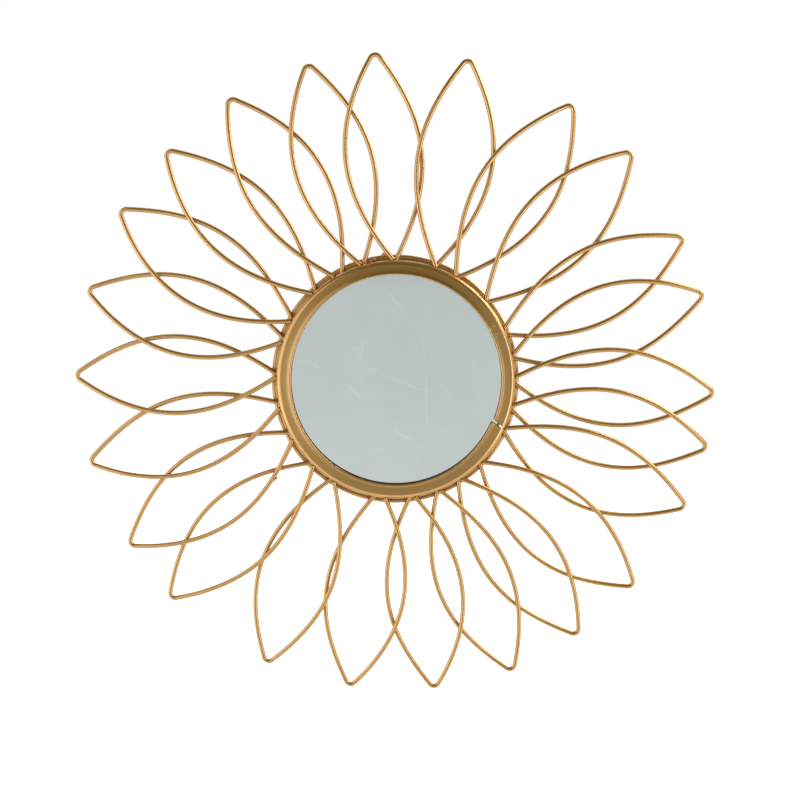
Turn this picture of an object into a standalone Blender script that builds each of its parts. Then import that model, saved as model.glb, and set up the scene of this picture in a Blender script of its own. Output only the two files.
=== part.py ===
"""Sunflower wall mirror: a round glass in a rolled rim of sheet steel, with twenty-four petals of bent wire.

Sizes are in metres, with +Z up. The mirror faces -Y, and its back lies against the wall, in the plane y = 0. The
origin is on the back of the hanger plate, just above its keyhole, where the mirror hangs. A bearing is an angle in
degrees, clockwise from the top as the mirror is seen from the front.
"""

import math

import bmesh
import bpy
from mathutils import Vector

# Fits between neighbouring pieces
GAP = 0.0003
LAYER_GAP = 0.00035

# Wire
PETAL_WIRE = 0.004
HOOP_WIRE = 0.004

# Rim: a rolled strip with a wall, a round shoulder, a dished flange and a steeper inner lip
RIM_RADIUS = 0.112
RIM_SHEET = 0.001
RIM_DEPTH = 0.0162
SHOULDER_RADIUS = 0.0035
FLANGE_WIDTH = 0.0142
FLANGE_DISH = 4.0
LIP_WIDTH = 0.003
LIP_SLOPE = 30.0

# Slit where the rim's ends meet: wide at the flange's inner edge and nearly closed at the wall
SLIT_BEARING = 113.1
SLIT_LEAN = 20.0
SLIT_INNER_WIDTH = 0.0021
SLIT_OUTER_WIDTH = 0.0009

# Glass, board and the clips that hold them
GLASS_ROOM = 0.0055
GLASS_THICKNESS = 0.003
BOARD_MARGIN = 0.0015
BOARD_THICKNESS = 0.003
CLIP_BEARINGS = (45.0, 135.0, 225.0, 315.0)
CLIP_WIDTH = 0.010
CLIP_SHEET = 0.0008
CLIP_REACH = 0.013

# Hanger plate with its keyhole and tongue
PLATE_THICKNESS = 0.0015
PLATE_WIDTH = 0.044
PLATE_HEIGHT = 0.031
PLATE_LAP = 0.001
PLATE_CORNER = 0.003
KEYHOLE_HEAD = 0.009
KEYHOLE_SLOT = 0.0046
KEYHOLE_RISE = 0.0085
MOUNT_MARGIN = 0.0035
SHELF_BELOW_RIM = 0.010
TONGUE_WIDTH = 0.0042
TONGUE_PLACE = -0.0119
TONGUE_RISE = 0.0028

# Petals, whose reach is measured from the ring's centre to the tip
PETAL_REACH = 0.300
PETAL_TIP_BEND = 0.005
FOOT_HANDLE = 0.43
TIP_HANDLE = 0.42
SIDE_LEAN = -1.0
FOOT_SLANT = 42.0
LAYERS_MEET = 0.84

# Facets
RIM_SEGMENTS = 60
SHOULDER_STEPS = 3
HOOP_SIDES = 8
SIDE_STEPS = 7
TIP_STEPS = 3
ARC_STEPS = 6
WIRE_ROUNDING = 2

# One row for each petal, as bent and welded by hand: the tip's bearing, how many millimetres the tip stands beyond
# the usual reach, the bearings of the anticlockwise and clockwise feet, and how far each side bows out, in degrees.
PETALS = (
    (-3.7, -1.0, -1.8, 0.4, 34.0, 32.5),
    (12.8, 0.0, 18.6, 19.4, 30.0, 36.0),
    (32.6, -1.0, 29.4, 31.5, 32.2, 35.2),
    (45.9, 0.5, 47.8, 49.7, 33.0, 33.7),
    (63.6, -4.0, 64.1, 68.0, 31.0, 33.5),
    (74.3, -4.0, 77.3, 79.6, 35.5, 32.2),
    (92.3, -2.5, 88.1, 92.0, 32.0, 34.2),
    (102.2, -1.0, 101.8, 104.5, 32.5, 35.3),
    (113.7, -1.5, 113.4, 115.7, 29.0, 37.3),
    (131.0, -1.0, 133.0, 135.1, 33.0, 36.4),
    (144.5, -1.0, 145.8, 148.4, 33.4, 32.5),
    (158.2, 0.5, 157.8, 159.8, 31.2, 34.5),
    (172.8, -1.5, 170.1, 173.5, 34.8, 32.5),
    (188.5, -2.5, 184.7, 190.8, 34.3, 33.3),
    (204.5, -2.0, 210.7, 213.1, 31.3, 35.5),
    (225.9, -1.5, 223.5, 226.0, 31.2, 36.5),
    (238.2, -3.5, 239.4, 244.0, 33.7, 35.8),
    (254.9, -2.5, 256.0, 259.3, 34.7, 31.5),
    (270.9, -1.5, 271.1, 273.4, 33.5, 35.0),
    (286.4, -3.0, 288.1, 290.9, 35.5, 33.0),
    (301.7, -2.0, 299.1, 301.1, 37.0, 31.2),
    (315.1, -3.0, 315.8, 318.5, 33.4, 32.0),
    (329.5, -1.0, 329.0, 333.9, 30.8, 36.5),
    (344.4, -1.0, 342.8, 344.9, 35.2, 33.5),
)
MM = 0.001

# Depths, from the wall forwards. Forwards is -Y.
RIM_BACK = -(PLATE_THICKNESS + GAP)
RIM_FRONT = RIM_BACK - RIM_DEPTH
HOOP_DEPTH = RIM_BACK - HOOP_WIRE / 2
BACK_LAYER = HOOP_DEPTH - HOOP_WIRE / 2 - GAP - PETAL_WIRE / 2
FRONT_LAYER = BACK_LAYER - PETAL_WIRE - LAYER_GAP

# Radii from the ring's axis
WALL_INSIDE = RIM_RADIUS - RIM_SHEET
HOOP_RADIUS = RIM_RADIUS + GAP + HOOP_WIRE / 2
LIP_EDGE = RIM_RADIUS - FLANGE_WIDTH
GLASS_RADIUS = WALL_INSIDE - GLASS_ROOM
BOARD_RADIUS = GLASS_RADIUS - BOARD_MARGIN
FOOT_RADIUS = RIM_RADIUS + GAP + PETAL_WIRE / 2 * math.sin(math.radians(FOOT_SLANT))

# Heights above the ring's axis. The origin is at the mount, so the ring's axis lies below it.
PLATE_TOP = RIM_RADIUS + PLATE_LAP
KEYHOLE_TOP = RIM_RADIUS - SHELF_BELOW_RIM
MOUNT_HEIGHT = KEYHOLE_TOP + MOUNT_MARGIN
RING_CENTRE = Vector((0.0, 0.0, -MOUNT_HEIGHT))


def clear_scene():
    for thing in list(bpy.data.objects):
        bpy.data.objects.remove(thing, do_unlink=True)


def finish(name, colour, metallic, roughness):
    """A plain surface finish for one kind of piece."""
    material = bpy.data.materials.new(name)
    material.use_nodes = True
    shader = material.node_tree.nodes["Principled BSDF"]
    shader.inputs["Base Color"].default_value = (*colour, 1.0)
    shader.inputs["Metallic"].default_value = metallic
    shader.inputs["Roughness"].default_value = roughness
    return material


def add_object(name, data, material, centre):
    thing = bpy.data.objects.new(name, data)
    thing.data.materials.append(material)
    thing.parent = centre
    bpy.context.collection.objects.link(thing)
    return thing


def add_mesh(name, shape, material, centre, smooth=0.0):
    """Turns a bmesh into an object, with faces that meet at less than the smooth angle shaded as one surface."""
    bmesh.ops.recalc_face_normals(shape, faces=shape.faces)
    mesh = bpy.data.meshes.new(name)
    shape.to_mesh(mesh)
    shape.free()
    if smooth:
        mesh.shade_smooth()
        mesh.set_sharp_from_angle(angle=math.radians(smooth))
    return add_object(name, mesh, material, centre)


def on_circle(radius, bearing, depth=0.0):
    """The point at this bearing on a circle round the ring's axis."""
    angle = math.radians(bearing)
    return Vector((radius * math.sin(angle), depth, radius * math.cos(angle)))


def turned(outline):
    """A bmesh of a closed outline of (radius, depth) points, turned about the ring's axis."""
    shape = bmesh.new()
    points = [shape.verts.new((0.0, depth, radius)) for radius, depth in outline]
    edges = [shape.edges.new((a, b)) for a, b in zip(points, points[1:] + points[:1])]
    bmesh.ops.spin(
        shape,
        geom=edges,
        cent=(0.0, 0.0, 0.0),
        axis=(0.0, 1.0, 0.0),
        angle=math.tau,
        steps=RIM_SEGMENTS,
        use_merge=True,
    )
    return shape


def slab(outline, depth_back, depth_front):
    """A bmesh of an outline of (x, z) points, made into a plate between two depths."""
    shape = bmesh.new()
    face = shape.faces.new([shape.verts.new((x, depth_back, z)) for x, z in outline])
    grown = bmesh.ops.extrude_face_region(shape, geom=[face])
    front = [v for v in grown["geom"] if isinstance(v, bmesh.types.BMVert)]
    bmesh.ops.translate(shape, verts=front, vec=(0.0, depth_front - depth_back, 0.0))
    return shape


def arc(centre_x, centre_z, radius, start, end, steps):
    """Points on an arc, with angles in degrees anticlockwise from +X."""
    points = []
    for step in range(steps + 1):
        angle = math.radians(start + (end - start) * step / steps)
        points.append((centre_x + radius * math.cos(angle), centre_z + radius * math.sin(angle)))
    return points


def cut(thing, cutter):
    """Takes the cutter's shape out of the thing, and keeps the cutter as a hidden guide."""
    cutter.hide_render = True
    cutter.display_type = "WIRE"
    modifier = thing.modifiers.new("cut", "BOOLEAN")
    modifier.operation = "DIFFERENCE"
    modifier.solver = "EXACT"
    modifier.object = cutter


def rim_outline():
    """The rim's section as (radius, depth) points: the front surface from the wall inwards, then the back of it."""
    dish = math.radians(FLANGE_DISH)
    slope = math.radians(LIP_SLOPE)
    shoulder_radius = RIM_RADIUS - SHOULDER_RADIUS
    shoulder_depth = RIM_FRONT + SHOULDER_RADIUS

    def shoulder(radius):
        points = []
        for step in range(SHOULDER_STEPS + 1):
            angle = (math.pi / 2 + dish) * step / SHOULDER_STEPS
            points.append((shoulder_radius + radius * math.cos(angle), shoulder_depth - radius * math.sin(angle)))
        return points

    front = shoulder(SHOULDER_RADIUS)
    lip_start = LIP_EDGE + LIP_WIDTH
    crease = (lip_start, front[-1][1] + (front[-1][0] - lip_start) * math.tan(dish))
    edge = (LIP_EDGE, crease[1] + LIP_WIDTH * math.tan(slope))
    half_bend = (dish + slope) / 2
    thickness = RIM_SHEET / math.cos((slope - dish) / 2)
    crease_back = (
        crease[0] + thickness * math.sin(half_bend),
        crease[1] + thickness * math.cos(half_bend),
    )
    edge_back = (edge[0] + RIM_SHEET * math.sin(slope), edge[1] + RIM_SHEET * math.cos(slope))
    back = shoulder(SHOULDER_RADIUS - RIM_SHEET)
    back.reverse()
    return [(RIM_RADIUS, RIM_BACK), *front, crease, edge, edge_back, crease_back, *back, (WALL_INSIDE, RIM_BACK)]


def glass_front():
    """The depth of the glass, which lies right behind the lip's rear edge."""
    rearmost = max(depth for radius, depth in rim_outline() if radius < LIP_EDGE + LIP_WIDTH / 2)
    return rearmost + GAP


def make_rim(paint, centre):
    rim = add_mesh("rim", turned(rim_outline()), paint, centre, smooth=25.0)
    half_flange = FLANGE_WIDTH / 2
    inner = SLIT_INNER_WIDTH / 2
    outer = SLIT_OUTER_WIDTH / 2
    right_side = [(inner, -FLANGE_WIDTH), (inner, -half_flange), (outer, half_flange), (outer, FLANGE_WIDTH)]
    left_side = [(-x, z) for x, z in reversed(right_side)]
    slot = slab(right_side + left_side, RIM_BACK + RIM_SHEET, RIM_FRONT - RIM_SHEET)
    cutter = add_mesh("slit_cutter", slot, paint, centre)
    cutter.location = on_circle(RIM_RADIUS - half_flange, SLIT_BEARING)
    cutter.rotation_euler = (0.0, math.radians(SLIT_BEARING + SLIT_LEAN), 0.0)
    cut(rim, cutter)


def make_hoop(paint, centre):
    outline = []
    for side in range(HOOP_SIDES):
        angle = math.tau * side / HOOP_SIDES
        outline.append((HOOP_RADIUS + HOOP_WIRE / 2 * math.cos(angle), HOOP_DEPTH - HOOP_WIRE / 2 * math.sin(angle)))
    add_mesh("wire_hoop", turned(outline), paint, centre, smooth=70.0)


def disc(radius, front, thickness):
    """A round plate about the ring's axis."""
    outline = arc(0.0, 0.0, radius, 0.0, 360.0, RIM_SEGMENTS)[:-1]
    return slab(outline, front + thickness, front)


def make_glass_and_board(silver, card, centre):
    front = glass_front()
    add_mesh("mirror_glass", disc(GLASS_RADIUS, front, GLASS_THICKNESS), silver, centre, smooth=30.0)
    board_front = front + GLASS_THICKNESS + GAP
    add_mesh("back_board", disc(BOARD_RADIUS, board_front, BOARD_THICKNESS), card, centre, smooth=30.0)
    return board_front + BOARD_THICKNESS


def make_clips(steel, centre, board_back):
    """Bent strips: one leg lies on the rim's wall, and one reaches in behind the board."""
    flat_inside = WALL_INSIDE * math.cos(math.pi / RIM_SEGMENTS) - GAP
    wall = math.sqrt(flat_inside**2 - (CLIP_WIDTH / 2) ** 2)
    front = board_back + GAP
    outline = (
        (front, wall),
        (RIM_BACK, wall),
        (RIM_BACK, wall - CLIP_SHEET),
        (front + CLIP_SHEET, wall - CLIP_SHEET),
        (front + CLIP_SHEET, wall - CLIP_REACH),
        (front, wall - CLIP_REACH),
    )
    for number, bearing in enumerate(CLIP_BEARINGS, start=1):
        shape = bmesh.new()
        face = shape.faces.new([shape.verts.new((-CLIP_WIDTH / 2, depth, height)) for depth, height in outline])
        grown = bmesh.ops.extrude_face_region(shape, geom=[face])
        far = [v for v in grown["geom"] if isinstance(v, bmesh.types.BMVert)]
        bmesh.ops.translate(shape, verts=far, vec=(CLIP_WIDTH, 0.0, 0.0))
        clip = add_mesh(f"retaining_clip_{number}", shape, steel, centre)
        clip.rotation_euler = (0.0, math.radians(bearing), 0.0)


def make_hanger(steel, centre):
    half = PLATE_WIDTH / 2
    bottom = PLATE_TOP - PLATE_HEIGHT
    corner = PLATE_CORNER
    tongue = TONGUE_WIDTH / 2
    hoop_top = math.sqrt((HOOP_RADIUS + HOOP_WIRE / 2) ** 2 - TONGUE_PLACE**2)
    tongue_centre = hoop_top + TONGUE_RISE - tongue
    outline = [
        *arc(-half + corner, bottom + corner, corner, 180.0, 270.0, ARC_STEPS),
        *arc(half - corner, bottom + corner, corner, 270.0, 360.0, ARC_STEPS),
        (half, PLATE_TOP),
        (TONGUE_PLACE + tongue, PLATE_TOP),
        *arc(TONGUE_PLACE, tongue_centre, tongue, 0.0, 180.0, ARC_STEPS),
        (TONGUE_PLACE - tongue, PLATE_TOP),
        (-half, PLATE_TOP),
    ]
    plate = add_mesh("hanger_plate", slab(outline, 0.0, -PLATE_THICKNESS), steel, centre)
    slot = KEYHOLE_SLOT / 2
    head = KEYHOLE_HEAD / 2
    slot_top = KEYHOLE_TOP - slot
    meeting = math.degrees(math.asin(slot / head))
    keyhole = [
        *arc(0.0, slot_top, slot, 0.0, 180.0, ARC_STEPS),
        *arc(0.0, slot_top - KEYHOLE_RISE, head, 90.0 + meeting, 450.0 - meeting, 2 * ARC_STEPS),
    ]
    cutter = add_mesh("keyhole_cutter", slab(keyhole, PLATE_THICKNESS, -2 * PLATE_THICKNESS), steel, centre)
    cut(plate, cutter)


def bezier(points, share):
    """A point on the cubic Bezier curve with these four control points."""
    a, b, c, d = points
    rest = 1.0 - share
    return rest**3 * a + 3 * rest**2 * share * b + 3 * rest * share**2 * c + share**3 * d


def rotated(vector, degrees):
    """The flat (x, z) vector turned anticlockwise, as seen from the front."""
    angle = math.radians(degrees)
    across = vector.x * math.cos(angle) - vector.y * math.sin(angle)
    up = vector.x * math.sin(angle) + vector.y * math.cos(angle)
    return Vector((across, up))


def flat(radius, bearing):
    point = on_circle(radius, bearing)
    return Vector((point.x, point.z))


def side_curve(foot, tip, axis, bow, hand):
    """Control points of one side, from its foot to where the tip's bend starts. hand is 1 on the anticlockwise side."""
    bend_centre = tip - PETAL_TIP_BEND * axis
    heading = rotated((bend_centre - foot).normalized(), -hand * (bow - SIDE_LEAN))
    end = bend_centre + PETAL_TIP_BEND * rotated(heading, hand * 90.0)
    length = (end - foot).length
    chord = (end - foot).normalized()
    start_handle = foot + FOOT_HANDLE * length * rotated(chord, hand * (bow + SIDE_LEAN))
    end_handle = end - TIP_HANDLE * length * rotated(chord, -hand * (bow - SIDE_LEAN))
    return foot, start_handle, end_handle, end


def side_points(curve):
    """Points along one side. The straight runs between them lie half outside the bent wire's curve and half inside."""
    points = [bezier(curve, step / SIDE_STEPS) for step in range(SIDE_STEPS + 1)]
    moved = []
    for before, point, after in zip(points, points[1:], points[2:]):
        # Two runs taken as one bow four times as far as one run does.
        bow = (point - (before + after) / 2) / 4
        moved.append(point + bow / 2)
    return [points[0], *moved, points[-1]]


def layer_depth(share, hand):
    """The wire's depth: each side keeps its own layer, and the layers meet at the tip."""
    own = FRONT_LAYER if hand > 0 else BACK_LAYER
    middle = (FRONT_LAYER + BACK_LAYER) / 2
    blend = max(0.0, (share - LAYERS_MEET) / (1.0 - LAYERS_MEET))
    return own + (middle - own) * blend * blend


def petal_path(row):
    """The points along one petal's wire, from its anticlockwise foot round the tip to its clockwise foot."""
    tip_bearing, beyond, left_bearing, right_bearing, left_bow, right_bow = row
    tip = flat(PETAL_REACH + beyond * MM, tip_bearing)
    left_foot = flat(FOOT_RADIUS, left_bearing)
    right_foot = flat(FOOT_RADIUS, right_bearing)
    axis = (tip - (left_foot + right_foot) / 2).normalized()
    left = side_curve(left_foot, tip, axis, left_bow, 1)
    right = side_curve(right_foot, tip, axis, right_bow, -1)
    path = []
    for step, point in enumerate(side_points(left)):
        path.append((point.x, layer_depth(step / SIDE_STEPS, 1), point.y))
    bend_centre = tip - PETAL_TIP_BEND * axis
    start = math.degrees(math.atan2(*(left[3] - bend_centre).yx))
    end = math.degrees(math.atan2(*(right[3] - bend_centre).yx))
    turn = (start - end) % 360.0
    for x, z in arc(*bend_centre, PETAL_TIP_BEND, start, start - turn, TIP_STEPS)[1:-1]:
        path.append((x, layer_depth(1.0, 1), z))
    for step, point in reversed(list(enumerate(side_points(right)))):
        path.append((point.x, layer_depth(step / SIDE_STEPS, -1), point.y))
    return path


def make_petals(paint, centre):
    for number, row in enumerate(PETALS, start=1):
        name = f"petal_{number:02d}"
        wire = bpy.data.curves.new(name, "CURVE")
        wire.dimensions = "3D"
        wire.bevel_depth = PETAL_WIRE / 2
        wire.bevel_resolution = WIRE_ROUNDING
        wire.use_fill_caps = True
        path = petal_path(row)
        spline = wire.splines.new("POLY")
        spline.points.add(len(path) - 1)
        for point, place in zip(spline.points, path):
            point.co = (*place, 1.0)
        spline.use_smooth = True
        add_object(name, wire, paint, centre)


def main():
    clear_scene()
    paint = finish("gold_paint", (0.50, 0.31, 0.12), 0.75, 0.38)
    silver = finish("silvered_glass", (0.62, 0.66, 0.66), 1.0, 0.03)
    card = finish("grey_board", (0.23, 0.20, 0.17), 0.0, 0.8)
    steel = finish("zinc_steel", (0.55, 0.55, 0.55), 0.9, 0.4)
    centre = bpy.data.objects.new("ring_centre", None)
    centre.location = RING_CENTRE
    bpy.context.collection.objects.link(centre)
    make_rim(paint, centre)
    make_hoop(paint, centre)
    make_petals(paint, centre)
    board_back = make_glass_and_board(silver, card, centre)
    make_clips(steel, centre, board_back)
    make_hanger(paint, centre)


main()
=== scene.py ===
# %% [markdown]
# # A wall mirror with a sunburst of bent wire
#
# The real mirror is a round glass in a rolled steel rim. Twenty-four petals of round wire are welded to
# the rim, and all the metal is sprayed gold. The solid model in model.glb has every piece at its real
# place. This script loads it as a frame, and makes the fine surfaces around it: round wires, a
# smooth rim, welds, paint, glass and light.

# %% Load the frame
import math

import bmesh
import bpy
from mathutils import Matrix, Vector, noise


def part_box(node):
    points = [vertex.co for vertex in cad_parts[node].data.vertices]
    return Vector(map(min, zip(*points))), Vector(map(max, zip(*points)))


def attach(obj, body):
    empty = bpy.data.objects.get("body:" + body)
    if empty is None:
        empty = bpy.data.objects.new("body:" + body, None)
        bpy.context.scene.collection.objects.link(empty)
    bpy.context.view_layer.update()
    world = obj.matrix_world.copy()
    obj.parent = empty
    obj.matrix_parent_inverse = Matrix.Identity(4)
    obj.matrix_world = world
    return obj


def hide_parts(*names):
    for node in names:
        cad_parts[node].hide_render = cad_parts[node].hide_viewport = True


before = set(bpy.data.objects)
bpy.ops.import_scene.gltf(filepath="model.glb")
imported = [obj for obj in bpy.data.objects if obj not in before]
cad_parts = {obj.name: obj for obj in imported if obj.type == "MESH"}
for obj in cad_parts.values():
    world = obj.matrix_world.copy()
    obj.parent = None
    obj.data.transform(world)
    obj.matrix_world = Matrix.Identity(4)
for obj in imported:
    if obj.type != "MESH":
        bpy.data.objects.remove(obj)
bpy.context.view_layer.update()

# %% [markdown]
# ## The light of a photograph on white
#
# The photograph is the kind that a shop takes: the object stands free on pure white, lit from both sides
# by large soft boxes, with little light from above. The background is white only for the camera. What
# the metal and the glass reflect is the grey room behind the camera, so the world is two things in one:
# white where the camera looks straight at it, and a grey that goes dark towards the ceiling for every
# other ray.

# %% A small wrapper for shader maths


class Socket:
    """One output of a shader node, so that sums and products of sockets read like those of numbers."""

    def __init__(self, tree, output):
        self.tree = tree
        self.output = output

    def maths(self, operation, first, second):
        return add_node(self.tree, "ShaderNodeMath", {"operation": operation}, {0: first, 1: second})

    def __add__(self, other):
        return self.maths("ADD", self, other)

    def __radd__(self, other):
        return self.maths("ADD", other, self)

    def __sub__(self, other):
        return self.maths("SUBTRACT", self, other)

    def __rsub__(self, other):
        return self.maths("SUBTRACT", other, self)

    def __mul__(self, other):
        return self.maths("MULTIPLY", self, other)

    def __rmul__(self, other):
        return self.maths("MULTIPLY", other, self)

    def clipped(self):
        return add_node(self.tree, "ShaderNodeClamp", {}, {"Value": self})


def add_node(tree, kind, settings, inputs, output=0):
    """Adds one node. Settings come first, then a value or a link for each named or numbered socket."""
    node = tree.nodes.new(kind)
    stops = settings.pop("stops", None)
    for name, value in settings.items():
        setattr(node, name, value)
    if stops:
        elements = node.color_ramp.elements
        while len(elements) < len(stops):
            elements.new(0.5)
        for element, (place, colour) in zip(elements, stops):
            element.position = place
            element.color = (*colour, 1.0)
    for name, value in inputs.items():
        if isinstance(value, Socket):
            tree.links.new(value.output, node.inputs[name])
        else:
            node.inputs[name].default_value = value
    return Socket(tree, node.outputs[output])


def object_place(tree):
    """The place in the piece's own coordinates, which are the mirror's too."""
    return add_node(tree, "ShaderNodeTexCoord", {}, {}, "Object")


def noise_of(tree, place, scale, detail):
    """A smooth noise between 0 and 1."""
    return add_node(tree, "ShaderNodeTexNoise", {}, {"Vector": place, "Scale": scale, "Detail": detail})


print("shader maths ready")

# %% The room's light
scene = bpy.context.scene
scene.view_settings.view_transform = "Standard"
world = bpy.data.worlds.new("white_studio")
world.use_nodes = True
scene.world = world
room = world.node_tree
room.nodes.clear()


def ramp(share, stops):
    """A colour that changes along a share from 0 to 1."""
    return add_node(room, "ShaderNodeValToRGB", {"stops": stops}, {"Fac": share})


def mixed(tree, share, first, second):
    """The first colour at a share of 0, the second at 1, and a blend between."""
    inputs = {"Factor": share, "A": first, "B": second}
    return add_node(tree, "ShaderNodeMix", {"data_type": "RGBA"}, inputs, "Result")


direction = add_node(room, "ShaderNodeTexCoord", {}, {}, "Generated")
upward = add_node(room, "ShaderNodeSeparateXYZ", {}, {"Vector": direction}, "Z")
backward = add_node(room, "ShaderNodeSeparateXYZ", {}, {"Vector": direction}, "Y")
across = add_node(room, "ShaderNodeSeparateXYZ", {}, {"Vector": direction}, "X")
height = upward * 0.5 + 0.5
# The dark part overhead starts a little further up at the sides
DARK_NARROWS = 0.04
in_front = ramp(
    height - across.maths("ABSOLUTE", across, 0.0) * DARK_NARROWS,
    [
        (0.0, (0.80, 0.80, 0.78)),
        (0.22, (0.52, 0.53, 0.52)),
        (0.32, (0.41, 0.44, 0.435)),
        (0.40, (0.63, 0.675, 0.665)),
        (0.50, (0.565, 0.61, 0.60)),
        (0.53, (0.44, 0.47, 0.46)),
        (0.57, (0.16, 0.16, 0.15)),
        (0.70, (0.095, 0.08, 0.065)),
        (1.0, (0.10, 0.09, 0.08)),
    ],
)
around = ramp(
    height,
    [
        (0.0, (1.50, 1.50, 1.47)),
        (0.25, (1.72, 1.72, 1.69)),
        (0.40, (1.40, 1.40, 1.37)),
        (0.50, (0.98, 0.98, 0.96)),
        (0.57, (0.85, 0.85, 0.83)),
        (0.66, (0.48, 0.48, 0.46)),
        (0.76, (0.26, 0.255, 0.245)),
        (1.0, (0.22, 0.215, 0.205)),
    ],
)
SURROUND_START = 0.87
SURROUND_RISE = 4.0
BACKDROP_START = 0.0
BACKDROP_RISE = 5.0
BACKDROP = (1.1, 1.1, 1.08, 1.0)
PAGE_WHITE = (1.0, 1.0, 1.0, 1.0)
off_axis = ((backward + SURROUND_START) * SURROUND_RISE).clipped()
behind = ((backward - BACKDROP_START) * BACKDROP_RISE).clipped()
all_round = mixed(room, behind, mixed(room, off_axis, in_front, around), BACKDROP)
room_light = add_node(room, "ShaderNodeBackground", {}, {"Color": all_round, "Strength": 1.0})
page_white = add_node(room, "ShaderNodeBackground", {}, {"Color": PAGE_WHITE, "Strength": 1.0})
seen = add_node(room, "ShaderNodeLightPath", {}, {}, "Is Camera Ray")
both = add_node(room, "ShaderNodeMixShader", {}, {0: seen, 1: room_light, 2: page_white})
surface = room.nodes.new("ShaderNodeOutputWorld").inputs["Surface"]
room.links.new(both.output, surface)
print("room lit: grey for the metal, white for the camera")

# %% Soft boxes


def soft_box(name, place, aim, width, height, radiance):
    """A large soft light. Its power follows from its size and from how bright its face looks."""
    data = bpy.data.lights.new(name, "AREA")
    data.shape = "RECTANGLE"
    data.size = width
    data.size_y = height
    data.energy = radiance * math.pi * width * height
    light = bpy.data.objects.new(name, data)
    light.location = place
    light.rotation_euler = (Vector(aim) - Vector(place)).to_track_quat("-Z", "Y").to_euler()
    scene.collection.objects.link(light)


ring_height = (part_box("rim")[0].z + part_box("rim")[1].z) / 2
middle = (0.0, 0.0, ring_height)


def from_mirror(bearing, tilt, distance):
    """A place seen from the mirror: round the view by its bearing, and away from the view by its tilt."""
    side = math.sin(math.radians(tilt)) * distance
    return (
        side * math.sin(math.radians(bearing)),
        -math.cos(math.radians(tilt)) * distance,
        side * math.cos(math.radians(bearing)) + ring_height,
    )


# Name, place (bearing, tilt, metres away), width, height, and how bright its face looks
SOFT_BOXES = (
    ("strip_right", (52.0, 92.0, 1.5), 1.1, 0.85, 5.8),
    ("box_right", (96.0, 50.0, 1.6), 0.55, 1.5, 2.8),
    ("box_left", (278.0, 54.0, 1.6), 2.1, 2.0, 1.2),
)
for name, place, box_width, box_height, radiance in SOFT_BOXES:
    soft_box(name, from_mirror(*place), middle, box_width, box_height, radiance)
print(len(SOFT_BOXES), "soft boxes, aimed at height", round(ring_height, 4))

# %% [markdown]
# ## The camera
#
# The petals at the bottom look a little smaller than those at the top, and the rim hides less of the
# glass's lower edge. Both say that the camera stood a little above the mirror's middle and looked down
# by five degrees.

# %% The camera
CAMERA_PITCH = math.radians(5.0)
CAMERA_DISTANCE = 0.930
PIXEL_SIZE = 0.0009377
PICTURE = 800
RING_PIXEL = (395.7, 380.2)
SENSOR = 36.0
PETAL_PLANE = -0.0103

lens = bpy.data.cameras.new("camera")
camera = bpy.data.objects.new("camera", lens)
scene.collection.objects.link(camera)
scene.camera = camera
camera.location = (
    0.0,
    PETAL_PLANE - CAMERA_DISTANCE * math.cos(CAMERA_PITCH),
    ring_height + CAMERA_DISTANCE * math.sin(CAMERA_PITCH),
)
camera.rotation_euler = (math.pi / 2 - CAMERA_PITCH, 0.0, 0.0)
lens.sensor_width = SENSOR
lens.lens = CAMERA_DISTANCE / PIXEL_SIZE * SENSOR / PICTURE
lens.shift_x = (PICTURE / 2 - RING_PIXEL[0]) / PICTURE
lens.shift_y = (RING_PIXEL[1] - PICTURE / 2) / PICTURE
print("lens", round(lens.lens, 2), "mm")

# %% [markdown]
# ## The floor
#
# A plain pale floor lies well below the mirror, as in a studio. It is a stage piece, so it isn't part of
# the mirror, and it is as white as the background, so that no horizon shows behind the petals.

# %% The floor
FLOOR_BELOW = 1.1
FLOOR_HALF = 6.0
FLOOR_GLOW = 0.9


def plain_finish(name, colour, metallic, roughness):
    """A material with its uniform values set on the shader's own sockets, for patterns to be added to."""
    material = bpy.data.materials.new(name)
    material.use_nodes = True
    shader = material.node_tree.nodes["Principled BSDF"]
    shader.inputs["Base Color"].default_value = (*colour, 1.0)
    shader.inputs["Metallic"].default_value = metallic
    shader.inputs["Roughness"].default_value = roughness
    return material, shader


floor_paint, floor_shader = plain_finish("floor_white", (0.9, 0.9, 0.89), metallic=0.0, roughness=0.9)
floor_shader.inputs["Emission Color"].default_value = (1.0, 1.0, 1.0, 1.0)
floor_shader.inputs["Emission Strength"].default_value = FLOOR_GLOW
shape = bmesh.new()
bmesh.ops.create_grid(shape, x_segments=1, y_segments=1, size=FLOOR_HALF)
bmesh.ops.translate(shape, verts=shape.verts, vec=(0.0, 0.0, ring_height - FLOOR_BELOW))
floor_mesh = bpy.data.meshes.new("floor")
shape.to_mesh(floor_mesh)
shape.free()
floor_mesh.materials.append(floor_paint)
floor = bpy.data.objects.new("floor", floor_mesh)
floor.visible_glossy = False
floor.visible_diffuse = False
floor.visible_transmission = False
scene.collection.objects.link(floor)
print("floor at", round(ring_height - FLOOR_BELOW, 3))

# %% [markdown]
# ## Gold paint
#
# The metal is sprayed with gold paint, which holds fine metal flakes in a clear binder. It is brown
# where it reflects the dark and cream where it reflects a light. The flakes give the gold colour, so the
# paint is mostly metallic with a broad soft gloss. The binder's own shine is white, so a clear coat lies
# on top, and turns the brightest lines cream. Spraying leaves a fine orange peel, and lies thicker in
# some places, so the colour drifts slowly.

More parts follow.
